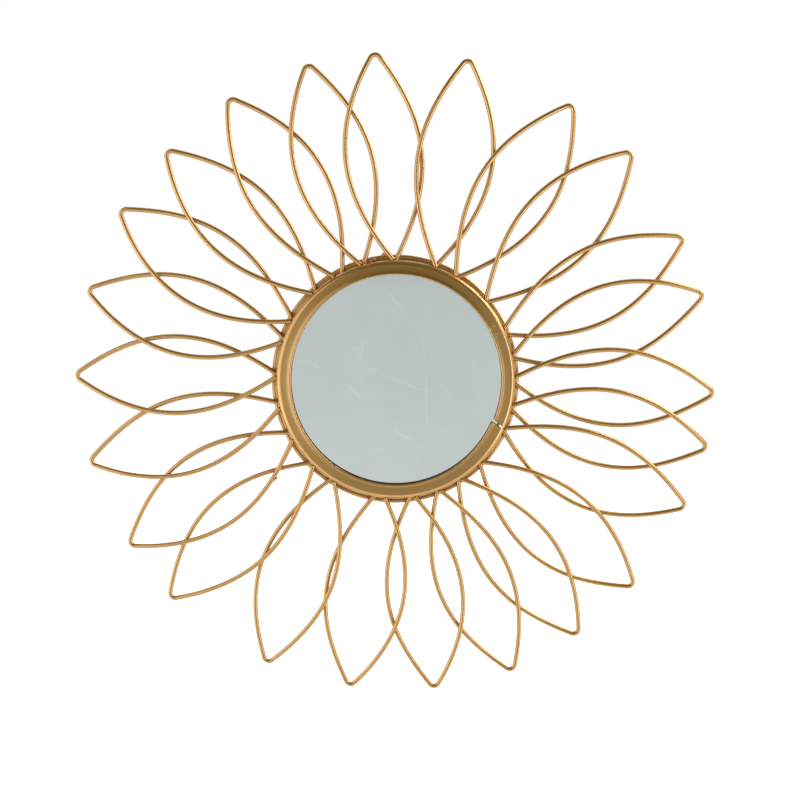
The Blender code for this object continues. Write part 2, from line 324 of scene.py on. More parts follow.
# %% Gold paint
PAINT_GRAIN = 900.0
PAINT_DRIFT = 22.0
DEEP_GOLD = (0.42, 0.208, 0.028)
LIGHT_GOLD = (0.49, 0.254, 0.044)
DRIFT_SHARE = 0.7
SPECKLE_SHARE = 0.5
TONE_DROP = 0.1
GLOSS_SPREAD = 0.10
PAINT_METAL = 0.88
PEEL_STRENGTH = 0.06
PEEL_HEIGHT = 0.00002
COAT_WEIGHT = 0.5
COAT_IOR = 2.3
COAT_ROUGHNESS = 0.15
EDGE_TINT = (1.0, 0.82, 0.58, 1.0)


def gold_paint(name, roughness):
    """Sprayed gold: a colour that drifts, a roughness that varies, and a fine grain that catches light."""
    material, shader = plain_finish(name, LIGHT_GOLD, PAINT_METAL, roughness)
    tree = material.node_tree
    place = object_place(tree)
    drift = noise_of(tree, place, PAINT_DRIFT, 3.0)
    speckle = noise_of(tree, place, PAINT_GRAIN, 2.0)
    tone = (drift * DRIFT_SHARE + speckle * SPECKLE_SHARE - TONE_DROP).clipped()
    colour = mixed(tree, tone, (*DEEP_GOLD, 1.0), (*LIGHT_GOLD, 1.0))
    tree.links.new(colour.output, shader.inputs["Base Color"])
    gloss = speckle * GLOSS_SPREAD + (roughness - GLOSS_SPREAD / 2)
    tree.links.new(gloss.output, shader.inputs["Roughness"])
    peel = {"Height": speckle, "Strength": PEEL_STRENGTH, "Distance": PEEL_HEIGHT}
    bump = add_node(tree, "ShaderNodeBump", {}, peel)
    tree.links.new(bump.output, shader.inputs["Normal"])
    shader.inputs["Coat Weight"].default_value = COAT_WEIGHT
    shader.inputs["Coat IOR"].default_value = COAT_IOR
    shader.inputs["Coat Roughness"].default_value = COAT_ROUGHNESS
    shader.inputs["Specular Tint"].default_value = EDGE_TINT
    return material


wire_gold = gold_paint("gold_on_wire", roughness=0.36)
rim_gold = gold_paint("gold_on_rim", roughness=0.30)
print("gold paint:", len(wire_gold.node_tree.nodes), "nodes")

# %% [markdown]
# ## From a shape to a piece
#
# Every finished piece is a mesh at the origin, with its place in its own points, as the frame's pieces
# are. A piece rides on the mirror's one body, may stand for a piece of the frame, and carries its
# finish.

# %% From a shape to a piece


def add_piece(name, shape, material, stands_for=(), smooth=35.0):
    """Turns a bmesh into a finished piece of the mirror."""
    mesh = bpy.data.meshes.new(name)
    shape.to_mesh(mesh)
    shape.free()
    mesh.shade_smooth()
    mesh.set_sharp_from_angle(angle=math.radians(smooth))
    mesh.materials.append(material)
    piece = bpy.data.objects.new(name, mesh)
    scene.collection.objects.link(piece)
    ride_as(piece, stands_for)
    return piece


def ride_as(piece, stands_for):
    """Tells the frame which body and pieces of its own a finished piece belongs to."""
    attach(piece, "root")
    if stands_for:
        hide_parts(*stands_for)


# %% [markdown]
# ## The petals' shape
#
# Each petal is one wire, bent round a former by hand and welded at both feet, so no two are quite alike.
# What is the same is the tight bend at the tip and the way each side bows. So each petal is one row of a
# table: where its tip and its feet are, and how far each side bows. A bearing is in degrees, clockwise
# from the top.

# %% The petals' rows
# The paint lies all round the wire, and makes it look thicker
PAINT_COAT = 0.0002
PETAL_REACH = 0.2995
PETAL_WIRE = 0.004 + 2 * PAINT_COAT
TIP_BEND = 0.005
FOOT_HANDLE = 0.43
TIP_HANDLE = 0.42
SIDE_LEAN = -1.0
LAYERS_MEET = 0.84
MM = 0.001
# Tip bearing, millimetres beyond the usual reach, anticlockwise foot, clockwise foot, left bow, right bow
PETALS = (
    (-3.7, -1.0, -1.8, 0.4, 34.0, 32.5),
    (12.8, 0.0, 18.6, 19.4, 30.0, 36.0),
    (32.6, -1.0, 29.4, 31.5, 32.2, 35.2),
    (45.9, 0.5, 47.8, 49.7, 33.0, 33.7),
    (63.6, -4.0, 64.1, 68.0, 31.0, 33.5),
    (74.3, -4.0, 77.3, 79.6, 35.5, 32.2),
    (92.3, -2.5, 88.1, 92.0, 32.0, 34.2),
    (102.2, -1.0, 101.8, 104.5, 32.5, 35.3),
    (113.7, -1.5, 113.4, 115.7, 29.0, 37.3),
    (131.0, -1.0, 133.0, 135.1, 33.0, 36.4),
    (144.5, -1.0, 145.8, 148.4, 33.4, 32.5),
    (158.2, 0.5, 157.8, 159.8, 31.2, 34.5),
    (172.8, -1.5, 170.1, 173.5, 34.8, 32.5),
    (188.5, -2.5, 184.7, 190.8, 34.3, 33.3),
    (204.5, -2.0, 210.7, 213.1, 31.3, 35.5),
    (225.9, -1.5, 223.5, 226.0, 31.2, 36.5),
    (238.2, -3.5, 239.4, 244.0, 33.7, 35.8),
    (254.9, -2.5, 256.0, 259.3, 34.7, 31.5),
    (270.9, -1.5, 271.1, 273.4, 33.5, 35.0),
    (286.4, -3.0, 288.1, 290.9, 35.5, 33.0),
    (301.7, -2.0, 299.1, 301.1, 37.0, 31.2),
    (315.1, -3.0, 315.8, 318.5, 33.4, 32.0),
    (329.5, -1.0, 329.0, 333.9, 30.8, 36.5),
    (344.4, -1.0, 342.8, 344.9, 35.2, 33.5),
)
# Depths of the two layers of wire, and how far from the ring's middle a foot's curve starts
BACK_LAYER = -0.0081
FRONT_LAYER = -0.01245
FOOT_RADIUS = 0.11364
print(len(PETALS), "petals")

# %% A side's curve


def on_ring(radius, bearing):
    """A flat point at this bearing round the ring, seen from the front: across, then up."""
    angle = math.radians(bearing)
    return Vector((radius * math.sin(angle), radius * math.cos(angle)))


def rotated(vector, degrees):
    """The flat vector turned anticlockwise."""
    return Matrix.Rotation(math.radians(degrees), 2) @ vector


def side_curve(foot, tip, axis, bow, hand):
    """Four control points of one side, from foot to bend. hand is 1 anticlockwise and -1 clockwise."""
    bend_centre = tip - TIP_BEND * axis
    heading = rotated((bend_centre - foot).normalized(), -hand * (bow - SIDE_LEAN))
    end = bend_centre + TIP_BEND * rotated(heading, hand * 90.0)
    length = (end - foot).length
    chord = (end - foot).normalized()
    first = foot + FOOT_HANDLE * length * rotated(chord, hand * (bow + SIDE_LEAN))
    second = end - TIP_HANDLE * length * rotated(chord, -hand * (bow - SIDE_LEAN))
    return foot, first, second, end


def bezier(points, share):
    """The point at this share of the way along a curve with four control points."""
    a, b, c, d = points
    rest = 1.0 - share
    return rest**3 * a + 3 * rest**2 * share * b + 3 * rest * share**2 * c + share**3 * d


def layer_depth(share, hand):
    """Each side keeps its own layer, and the two layers meet at the tip."""
    own = FRONT_LAYER if hand > 0 else BACK_LAYER
    halfway = (FRONT_LAYER + BACK_LAYER) / 2
    blend = max(0.0, (share - LAYERS_MEET) / (1.0 - LAYERS_MEET))
    return own + (halfway - own) * blend * blend


def petal_sides(row):
    """The control points of both sides, and the middle of the bend at the tip."""
    tip_bearing, beyond, left_bearing, right_bearing, left_bow, right_bow = row
    tip = on_ring(PETAL_REACH + beyond * MM, tip_bearing)
    left_foot = on_ring(FOOT_RADIUS, left_bearing)
    right_foot = on_ring(FOOT_RADIUS, right_bearing)
    axis = (tip - (left_foot + right_foot) / 2).normalized()
    left = side_curve(left_foot, tip, axis, left_bow, 1)
    right = side_curve(right_foot, tip, axis, right_bow, -1)
    return left, right, tip - TIP_BEND * axis


print("first petal's tip bend at", [round(v, 4) for v in petal_sides(PETALS[0])[2]])

# %% [markdown]
# ## Bending the wire
#
# A curve with a round bevel is the natural way to make bent wire, because the section stays round
# through every bend. The points lie close together, so that the wire has no corners, and the tip's bend
# is a small arc between the two sides.

# %% Bend the wires
SIDE_POINTS = 30
BEND_POINTS = 7
WIRE_ROUNDING = 4
FOOT_REACH = 0.0018


def petal_path(row):
    """Points along one wire, from its anticlockwise foot round the tip to its clockwise foot."""
    left, right, bend_centre = petal_sides(row)
    path = []
    for step in range(SIDE_POINTS + 1):
        share = step / SIDE_POINTS
        point = bezier(left, share)
        path.append(Vector((point.x, layer_depth(share, 1), point.y)))
    start = math.atan2(left[3].y - bend_centre.y, left[3].x - bend_centre.x)
    end = math.atan2(right[3].y - bend_centre.y, right[3].x - bend_centre.x)
    turn = (start - end) % math.tau
    for step in range(1, BEND_POINTS):
        angle = start - turn * step / BEND_POINTS
        across = bend_centre.x + TIP_BEND * math.cos(angle)
        up = bend_centre.y + TIP_BEND * math.sin(angle)
        path.append(Vector((across, layer_depth(1.0, 1), up)))
    for step in range(SIDE_POINTS, -1, -1):
        share = step / SIDE_POINTS
        point = bezier(right, share)
        path.append(Vector((point.x, layer_depth(share, -1), point.y)))
    path[0] += (path[0] - path[1]).normalized() * FOOT_REACH
    path[-1] += (path[-1] - path[-2]).normalized() * FOOT_REACH
    return path


petal_paths = [petal_path(row) for row in PETALS]
for number, path in enumerate(petal_paths, start=1):
    wire = bpy.data.curves.new(f"bent_wire_{number:02d}", "CURVE")
    wire.dimensions = "3D"
    wire.bevel_depth = PETAL_WIRE / 2
    wire.bevel_resolution = WIRE_ROUNDING
    wire.use_fill_caps = True
    spline = wire.splines.new("POLY")
    spline.points.add(len(path) - 1)
    for point, place in zip(spline.points, path):
        point.co = (place.x, place.y, place.z + ring_height, 1.0)
    spline.use_smooth = True
    wire.materials.append(wire_gold)
    petal = bpy.data.objects.new(f"bent_wire_{number:02d}", wire)
    scene.collection.objects.link(petal)
    ride_as(petal, [f"petal_{number:02d}"])
print("wires bent:", len(petal_paths), "with", len(petal_paths[0]), "points each")

# %% [markdown]
# ## The rolled rim
#
# The rim is one strip of sheet steel, rolled into a ring with an L section. A turned outline makes it: a
# wall, a round shoulder that catches a bright line of light, a flange that dishes in a little, and a lip
# that turns back to the glass.

# %% The rim's outline
RIM_RADIUS = (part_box("rim")[1].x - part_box("rim")[0].x) / 2
rim_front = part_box("rim")[0].y
rim_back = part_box("rim")[1].y
RIM_SHEET = 0.0009
SHOULDER_RADIUS = 0.0050
LIP_EDGE = 0.0978
LIP_BEND = 0.0009
LIP_GAP = 0.0003
LEAN_ON_ROLL = 14.5
LEAN_ON_FLANGE = 6.5
ROLL_SHARE = 0.15
ROLL_POWER = 4
LEAN_AT_SHOULDER = 2.5
FLANGE_STEPS = 24
SHOULDER_STEPS = 16
LIP_STEPS = 8
LIP_TURN = 178.0
ROLL_STEPS = 288
lip_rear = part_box("mirror_glass")[0].y - LIP_GAP


def arc(centre, radius, start, end, steps):
    """Points of an arc in the section, as (radius, depth). 0 degrees faces outwards, and 90 the viewer."""
    points = []
    for step in range(steps + 1):
        angle = math.radians(start + (end - start) * step / steps)
        points.append((centre[0] + radius * math.cos(angle), centre[1] - radius * math.sin(angle)))
    return points


def flange_line():
    """The flange from lip to shoulder, each point with its own lean, which is greatest near the lip."""
    lip_centre = (LIP_EDGE + LIP_BEND, rim_front + LIP_BEND)
    radius, depth = arc(lip_centre, LIP_BEND, 90.0 - LEAN_ON_FLANGE, 90.0, 1)[0]
    last = RIM_RADIUS - SHOULDER_RADIUS * (1.0 - math.sin(math.radians(LEAN_AT_SHOULDER)))
    step_width = (last - radius) / FLANGE_STEPS
    line = [(radius, depth, LEAN_ON_FLANGE)]
    for step in range(1, FLANGE_STEPS + 1):
        share = step / FLANGE_STEPS
        roll = (share / ROLL_SHARE * math.exp(1.0 - share / ROLL_SHARE)) ** ROLL_POWER
        rolled = (LEAN_ON_ROLL - LEAN_ON_FLANGE) * roll
        lean = LEAN_ON_FLANGE + (LEAN_AT_SHOULDER - LEAN_ON_FLANGE) * share + rolled
        radius += step_width
        depth += step_width * math.tan(math.radians(lean))
        line.append((radius, depth, lean))
    return lip_centre, line


def rim_side(inset):
    """One face of the sheet: the wall, the shoulder, the flange and the lip, to the lip's rear edge."""
    lip_centre, line = flange_line()
    end_radius, end_depth, end_lean = line[-1]
    shoulder_depth = end_depth + SHOULDER_RADIUS * math.cos(math.radians(end_lean))
    shoulder_centre = (RIM_RADIUS - SHOULDER_RADIUS, shoulder_depth)
    points = [(RIM_RADIUS - inset, rim_back)]
    points += arc(shoulder_centre, SHOULDER_RADIUS - inset, 0.0, 90.0 - end_lean, SHOULDER_STEPS)
    for radius, depth, lean in line[-2:0:-1]:
        tilt = math.radians(lean)
        points.append((radius - inset * math.sin(tilt), depth + inset * math.cos(tilt)))
    if inset < LIP_BEND:
        points += arc(lip_centre, LIP_BEND - inset, 90.0 - LEAN_ON_FLANGE, LIP_TURN, LIP_STEPS)
    else:
        points.append((LIP_EDGE + inset, rim_front + inset))
    points.append((LIP_EDGE + inset, lip_rear))
    return points


print("rim outline:", len(rim_side(0.0)), "points on the outer face")

# %% Roll the rim and leave its slit
ROLL_TURN = 359.0
# Bearings of the slit's two sides at the lip, and at the wall
SLIT_INNER = (111.75, 113.35)
SLIT_OUTER = (113.9, 114.15)
WORN_EDGE = 0.0003
# The strip's upper end was rolled a little wider: its lip moves out by this step between two bearings
LIP_STEP = 0.0011
STEP_FROM = 290.0
STEP_FULL = 425.0


def slit_bearings(radius):
    """Where the rim's two ends are at this radius: the upper end, then the lower one."""
    share = (radius - LIP_EDGE) / (RIM_RADIUS - LIP_EDGE)
    upper = SLIT_INNER[0] + (SLIT_OUTER[0] - SLIT_INNER[0]) * share
    lower = SLIT_INNER[1] + (SLIT_OUTER[1] - SLIT_INNER[1]) * share
    return upper, lower


def spun(outline, steps, turn=360.0):
    """Turns a closed outline of (radius, depth) points about the ring's axis, clockwise from the top."""
    shape = bmesh.new()
    points = [shape.verts.new((0.0, depth, ring_height + radius)) for radius, depth in outline]
    edges = [shape.edges.new(pair) for pair in zip(points, points[1:] + points[:1])]
    bmesh.ops.spin(
        shape,
        geom=points + edges,
        cent=(0.0, 0.0, ring_height),
        axis=(0.0, 1.0, 0.0),
        angle=math.radians(turn),
        steps=steps,
        use_merge=turn == 360.0,
    )
    bmesh.ops.recalc_face_normals(shape, faces=shape.faces)
    return shape


def open_slit(shape, turn):
    """Moves each point round its circle to the slit's slanting sides, and draws the upper end's lip out."""
    for vert in shape.verts:
        radius = math.hypot(vert.co.x, vert.co.z - ring_height)
        bearing = math.degrees(math.atan2(vert.co.x, vert.co.z - ring_height)) % 360.0
        if bearing > (turn + 360.0) / 2:
            bearing -= 360.0
        upper, lower = slit_bearings(radius)
        drawn_to = lower + (upper + 360.0 - lower) * bearing / turn
        drawn = min(1.0, max(0.0, (drawn_to - STEP_FROM) / (STEP_FULL - STEP_FROM)))
        radius += LIP_STEP * drawn * (RIM_RADIUS - radius) / (RIM_RADIUS - LIP_EDGE)
        place = math.radians(drawn_to)
        vert.co.x = radius * math.sin(place)
        vert.co.z = ring_height + radius * math.cos(place)


def close_ends(shape):
    """Caps the two ends, and wears their edges round."""
    open_edges = [edge for edge in shape.edges if edge.is_boundary]
    caps = bmesh.ops.holes_fill(shape, edges=open_edges, sides=0)["faces"]
    bmesh.ops.recalc_face_normals(shape, faces=shape.faces)
    bmesh.ops.bevel(
        shape, geom=open_edges, offset=WORN_EDGE, segments=2, profile=0.5, affect="EDGES", material=-1
    )
    return len(caps)


outer = rim_side(0.0)
inner = rim_side(RIM_SHEET)
rim_outline = outer + inner[::-1]
rim_shape = spun(rim_outline, ROLL_STEPS, ROLL_TURN)
open_slit(rim_shape, ROLL_TURN)
print("ends capped:", close_ends(rim_shape))
rim = add_piece("rolled_rim", rim_shape, rim_gold, ["rim"])
print("rim rolled:", len(rim.data.polygons), "faces")

# %% The hoop of wire round the rim
HOOP_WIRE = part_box("wire_hoop")[1].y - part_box("wire_hoop")[0].y
hoop_depth = (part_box("wire_hoop")[1].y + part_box("wire_hoop")[0].y) / 2
hoop_radius = (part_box("wire_hoop")[1].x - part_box("wire_hoop")[0].x) / 2 - HOOP_WIRE / 2
# The hoop is bent by hand too: it is a little taller than wide, and sits a little low and to the left
HOOP_OVAL = (1.0, 1.009)
HOOP_SHIFT = (-0.0004, -0.0004)
HOOP_SECTION = (0.00232, 0.0020)
HOOP_SIDES = 16
hoop_outline = []
for step in range(HOOP_SIDES):
    angle = math.tau * step / HOOP_SIDES
    hoop_outline.append(
        (hoop_radius + HOOP_SECTION[0] * math.cos(angle), hoop_depth - HOOP_SECTION[1] * math.sin(angle))
    )
hoop_shape = spun(hoop_outline, ROLL_STEPS)
for vert in hoop_shape.verts:
    vert.co.x = vert.co.x * HOOP_OVAL[0] + HOOP_SHIFT[0]
    vert.co.z = (vert.co.z - ring_height) * HOOP_OVAL[1] + ring_height + HOOP_SHIFT[1]
add_piece("hoop_of_wire", hoop_shape, wire_gold, ["wire_hoop"], smooth=80.0)
print("hoop radius", round(hoop_radius, 4))

# %% [markdown]
# ## Welds
#
# A thin seam of weld holds the hoop to the rim. Where wires meet the rim, and where some of them cross,
# the welder left small uneven beads, which the paint covers. Each bead is a small sphere, pushed in and
# out by a noise, so that no two are the same. Some show in the photograph, so a point of the picture is
# carried back into space.

# %% From a point of the photograph to a place
focus = CAMERA_DISTANCE / PIXEL_SIZE
look = Vector((0.0, math.cos(CAMERA_PITCH), -math.sin(CAMERA_PITCH)))
upright = Vector((0.0, math.sin(CAMERA_PITCH), math.cos(CAMERA_PITCH)))


def seen_at(pixel, depth):
    """The place at this depth that the camera sees at this pixel of the photograph."""
    ray = look + Vector((1.0, 0.0, 0.0)) * ((pixel[0] - RING_PIXEL[0]) / focus)
    ray += upright * ((RING_PIXEL[1] - pixel[1]) / focus)
    return camera.location + ray * ((depth - camera.location.y) / ray.y)


print("the ring's middle again:", [round(v, 4) for v in seen_at(RING_PIXEL, PETAL_PLANE)])

# %% The hoop's seam
SEAM_BEAD = 0.0011
SEAM_TURN = 330.0
SEAM_STEPS = 11
seam_centre = (RIM_RADIUS + SEAM_BEAD, hoop_depth - SEAM_BEAD)
seam = arc(seam_centre, SEAM_BEAD, 0.0, SEAM_TURN, SEAM_STEPS)
add_piece("seam_of_hoop", spun(seam, ROLL_STEPS), wire_gold, smooth=80.0)
print("seam:", len(seam), "points round its section")

# %% Weld beads at the feet
BEAD = 0.0013
BEAD_LENGTH = 1.5
BEAD_SPREAD = 0.5
# How far from its wire a bead lies, in degrees round the rim, and how far out and back
BEAD_ASIDE = 0.75
BEAD_OUT = 0.0004
BEAD_BACK = 0.0016
LUMPS = 1.4
# Each draw from the noise starts somewhere else, so that no two beads match
SEED_STEPS = (3.7, 1.9, 5.3)
PLACE_DRAW = (2.3, 0.5)
SIZE_DRAW = (1.7, 4.5)


def add_bead(shape, place, sizes, seed, rough=0.28):
    """Adds one uneven bead to a shape. Its sizes are half its width, depth and height."""
    made = bmesh.ops.create_icosphere(shape, subdivisions=3, radius=1.0)
    for vert in made["verts"]:
        swell = 1.0 + rough * noise.noise(vert.co * LUMPS + Vector([seed * step for step in SEED_STEPS]))
        vert.co = Vector(place) + Vector([v * size * swell for v, size in zip(vert.co, sizes)])


def drawn_from(draw, seed):
    """A value between -1 and 1 that belongs to this seed."""
    step, row = draw
    return noise.noise(Vector((seed * step, row, 0.5)))


foot_beads = bmesh.new()
for number, path in enumerate(petal_paths):
    for end, foot in enumerate((path[0], path[-1])):
        seed = number * 2 + end
        aside = BEAD_ASIDE if end else -BEAD_ASIDE
        aside *= 1.0 + drawn_from(PLACE_DRAW, seed)
        bearing = math.degrees(math.atan2(foot.x, foot.z)) + aside
        size = BEAD * (1.0 + BEAD_SPREAD * drawn_from(SIZE_DRAW, seed))
        flat = on_ring(RIM_RADIUS + BEAD_OUT, bearing)
        place = (flat.x, foot.y + BEAD_BACK, flat.y + ring_height)
        add_bead(foot_beads, place, (size, size * BEAD_LENGTH, size), seed)
add_piece("welds_at_feet", foot_beads, wire_gold, smooth=180.0)
print("weld beads at feet:", 2 * len(petal_paths))

# %% Weld beads that show in the photograph
# Pixel of the photograph, depth, half sizes in mm
SEEN_BEADS = (
    ((342.2, 243.6), -0.0105, (1.5, 2.4, 1.5)),
    ((372.6, 229.6), -0.0118, (1.1, 2.2, 1.3)),
    ((274.6, 480.0), -0.0125, (1.0, 1.9, 1.1)),
    ((276.3, 478.0), -0.0108, (1.4, 2.0, 1.2)),
    ((433.2, 516.4), -0.0105, (1.3, 2.4, 1.3)),
    ((486.4, 487.6), -0.0110, (1.6, 2.4, 1.4)),
    ((510.0, 335.6), -0.0090, (1.3, 2.6, 1.7)),
    ((507.2, 328.0), -0.0120, (1.4, 2.2, 2.2)),
    ((374.2, 259.0), -0.0110, (1.7, 1.4, 1.1)),
    ((370.6, 261.0), -0.0100, (1.2, 1.4, 0.9)),
    ((383.9, 254.8), -0.0045, (2.1, 2.0, 2.4)),
)
seen_beads = bmesh.new()
FIRST_SEED = 60
for seed, (pixel, depth, sizes) in enumerate(SEEN_BEADS, start=FIRST_SEED):
    add_bead(seen_beads, seen_at(pixel, depth), [size * MM for size in sizes], seed, rough=0.2)
add_piece("welds_at_crossings", seen_beads, wire_gold, smooth=180.0)
print("more weld beads:", len(SEEN_BEADS))

# %% [markdown]
# ## Flecks on the rim
#
# A nick at the lip's edge at the lower left shows as painted shade, with a painted highlight on its edge
# beside it, and a few pale specks lie on the flange at the upper right. They are too flat to be worth a
# shape, so each one is a spot in the colour of the rim's paint, and only its place and size are given.

# %% Flecks on the rim
# Pixel of the photograph, radius in mm
# The dark spot is painted shade in the nick at the lip's edge
NICK_SHADE_SPOTS = (((334.4, 464.9), 1.7),)
# The first pale spot is a painted highlight on the nick's edge; the rest are pale specks on the flange
PALE_SPOTS = (
    ((336.3, 466.3), 1.6),
    ((490.7, 329.5), 1.6),
    ((492.9, 326.4), 1.3),
    ((494.3, 326.6), 1.2),
    ((496.3, 334.0), 1.4),
    ((496.9, 337.0), 1.2),
)
FLECK_DEPTH = rim_front + MM
# The pale spots' gold, which beside the nick is a painted highlight
PALE_SPOT_GOLD = (0.85, 0.50, 0.14, 1.0)
PALE_SPOT_COVER = 0.9
# The brown of the painted shade in the nick
NICK_SHADE_BROWN = (0.06, 0.045, 0.02, 1.0)
rim_tree = rim_gold.node_tree
rim_colour = rim_tree.nodes["Principled BSDF"].inputs["Base Color"]
rim_place = object_place(rim_tree)


def vector_maths(tree, operation, first, second, output="Vector"):
    """One node of vector maths, which gives a vector or, with the output named, a value."""
    return add_node(tree, "ShaderNodeVectorMath", {"operation": operation}, {0: first, 1: second}, output)


flat_place = vector_maths(rim_tree, "MULTIPLY", rim_place, (1.0, 0.0, 1.0))


def spots(flecks):
    """How far each point of the rim lies inside one of these flecks, from 0 outside to 1 at a middle."""
    inside = 0.0
    for pixel, radius in flecks:
        place = seen_at(pixel, FLECK_DEPTH)
        gap = vector_maths(rim_tree, "DISTANCE", flat_place, (place.x, 0.0, place.z), "Value")
        inside = inside + (1.0 - gap * (1.0 / (radius * MM))).clipped()
    return inside.clipped()


painted = Socket(rim_tree, rim_colour.links[0].from_socket)
# The pale spots go into the rim's paint, one of them a painted highlight, and so does the nick's painted
# shade
pale_spotted = mixed(rim_tree, spots(PALE_SPOTS) * PALE_SPOT_COVER, painted, PALE_SPOT_GOLD)
nick_shaded = mixed(rim_tree, spots(NICK_SHADE_SPOTS), pale_spotted, NICK_SHADE_BROWN)
rim_tree.links.new(nick_shaded.output, rim_colour)
print("flecks on the rim:", len(NICK_SHADE_SPOTS) + len(PALE_SPOTS))

# %% [markdown]
# ## The glass
#
# A mirror is clear glass with silver behind it, so the rim's edge shows twice: once itself, and once in
# the silver, some millimetres deeper. The clear sheet and the silver are two pieces, and the silver
# carries a faint film of dust. A cloth left smears on it, which the photograph shows as pale lines.
# A black ring at the glass's edge is painted shade for the gap by the rim, seen as a dark dot in the slit.

# %% The clear glass
glass_low, glass_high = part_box("mirror_glass")
glass_radius = (glass_high.x - glass_low.x) / 2
SILVER = 0.0003
HAIR = 0.00005
GLASS_BEVEL = 0.0005
GLASS_SEGMENTS = 192
GLASS_IOR = 1.5


def at_front_or_back(edge):
    """Whether an edge lies between a round face, which has many corners, and the narrow side."""
    corners = sorted(len(face.verts) for face in edge.link_faces)
    return len(corners) == 2 and corners[0] == 4 and corners[1] > 4


def disc(radius, front, back, bevel):
    """A round sheet between two depths, with its edges bevelled where a bevel is given."""
    shape = bmesh.new()
    bmesh.ops.create_circle(shape, cap_ends=True, radius=radius, segments=GLASS_SEGMENTS)
    bmesh.ops.rotate(shape, verts=shape.verts, matrix=Matrix.Rotation(math.pi / 2, 3, "X"))
    grown = bmesh.ops.extrude_face_region(shape, geom=shape.faces[:])
    moved = [v for v in grown["geom"] if isinstance(v, bmesh.types.BMVert)]
    bmesh.ops.translate(shape, verts=moved, vec=(0.0, back - front, 0.0))
    bmesh.ops.translate(shape, verts=shape.verts, vec=(0.0, front, ring_height))
    if bevel:
        edges = [edge for edge in shape.edges if at_front_or_back(edge)]
        bmesh.ops.bevel(
            shape, geom=edges, offset=bevel, segments=2, profile=0.5, affect="EDGES", material=-1
        )
    bmesh.ops.recalc_face_normals(shape, faces=shape.faces)
    return shape


clear, clear_shader = plain_finish("clear_glass", (0.985, 0.99, 0.99), metallic=0.0, roughness=0.0)
clear_shader.inputs["Transmission Weight"].default_value = 1.0
clear_shader.inputs["IOR"].default_value = GLASS_IOR
glass_rear = glass_high.y - SILVER - HAIR
glass_shape = disc(glass_radius, glass_low.y, glass_rear, GLASS_BEVEL)
add_piece("glass_sheet", glass_shape, clear, ["mirror_glass"], smooth=12.0)
print("glass", round(glass_radius * 2 / MM, 1), "mm across")

# %% Smears on the silver
silvering, silver_shader = plain_finish("silvering", (0.90, 0.91, 0.905), metallic=1.0, roughness=0.02)
# Start pixel, end pixel, half width in mm, strength
SMEARS = (
    ((379.2, 284.2), (389.0, 294.0), 0.7, 0.35),
    ((389.0, 294.0), (400.5, 306.8), 0.9, 0.6),
    ((400.5, 306.8), (410.5, 330.5), 0.6, 0.25),
    ((423.0, 325.5), (426.2, 380.5), 0.55, 0.4),
    ((426.2, 380.5), (427.2, 426.0), 0.6, 0.65),
    ((364.2, 373.0), (370.5, 368.8), 0.9, 0.6),
    ((370.5, 368.8), (376.7, 370.5), 1.0, 0.8),
    ((380.5, 375.5), (408.0, 384.2), 1.6, 0.5),
    ((408.0, 385.5), (450.5, 398.0), 1.1, 0.4),
    ((450.5, 398.0), (463.0, 394.0), 0.9, 0.4),
    ((436.7, 380.5), (450.5, 395.5), 0.7, 0.5),
    ((346.7, 384.2), (360.5, 398.0), 1.2, 0.55),
    ((363.0, 343.0), (360.0, 360.5), 0.8, 0.6),
    ((346.0, 349.0), (358.0, 348.5), 0.8, 0.5),
    ((295.5, 361.7), (306.7, 364.2), 1.2, 0.4),
    ((306.7, 360.5), (319.2, 368.0), 1.3, 0.6),
    ((395.5, 431.7), (408.0, 439.2), 1.3, 0.6),
    ((363.0, 455.5), (383.0, 449.2), 1.0, 0.4),
    ((415.5, 463.0), (421.7, 445.5), 1.0, 0.45),
    ((471.7, 369.2), (481.7, 348.0), 1.2, 0.35),
    ((353.3, 428.0), (353.6, 432.0), 0.9, 0.5),
)
DARK_SPOTS = (((464.2, 386.7), (464.6, 387.0), 0.8, 0.6), ((467.2, 396.0), (468.0, 396.2), 0.9, 0.8))
SMEAR_SPREAD = 1.5
silver_tree = silvering.node_tree
silver_place = object_place(silver_tree)


def smear(start, end, half_width, strength):
    """A soft line on the silver from one pixel of the photograph to another."""
    a = seen_at(start, glass_low.y)
    b = seen_at(end, glass_low.y)
    along = b - a
    offset = vector_maths(silver_tree, "SUBTRACT", silver_place, (a.x, glass_high.y - SILVER, a.z))
    along_share = tuple(along / along.length_squared)
    share = vector_maths(silver_tree, "DOT_PRODUCT", offset, along_share, "Value").clipped()
    scaling = {0: tuple(along), "Scale": share}
    nearest = add_node(silver_tree, "ShaderNodeVectorMath", {"operation": "SCALE"}, scaling, "Vector")
    gap = vector_maths(silver_tree, "DISTANCE", offset, nearest, "Value")
    return (1.0 - gap * (1.0 / (half_width * SMEAR_SPREAD * MM))).clipped() * strength


def total(lines):
    """The sum of all these lines."""
    result = smear(*lines[0])
    for line in lines[1:]:
        result = result + smear(*line)
    return result


print("smears:", len(SMEARS), "and dark spots:", len(DARK_SPOTS))

# %% The silver
# How far the black ring of painted shade reaches in behind the silver; the silver ends where the ring
# begins
SHADE_RING_WIDTH = 0.0018
SMEAR_STRENGTH = 0.55
SPOT_STRENGTH = 0.9
# The silver lies between these two colours, and a smear or a spot moves it towards one of them
DULL_SILVER = (0.81, 0.825, 0.82, 1.0)
PALE_SILVER = (1.0, 1.0, 1.0, 1.0)
CLEANNESS = 0.42
HAZE_RANGE = 0.34
HAZE_SCALE = 45.0
PATCH_RANGE = 0.4
PATCH_SCALE = 9.0
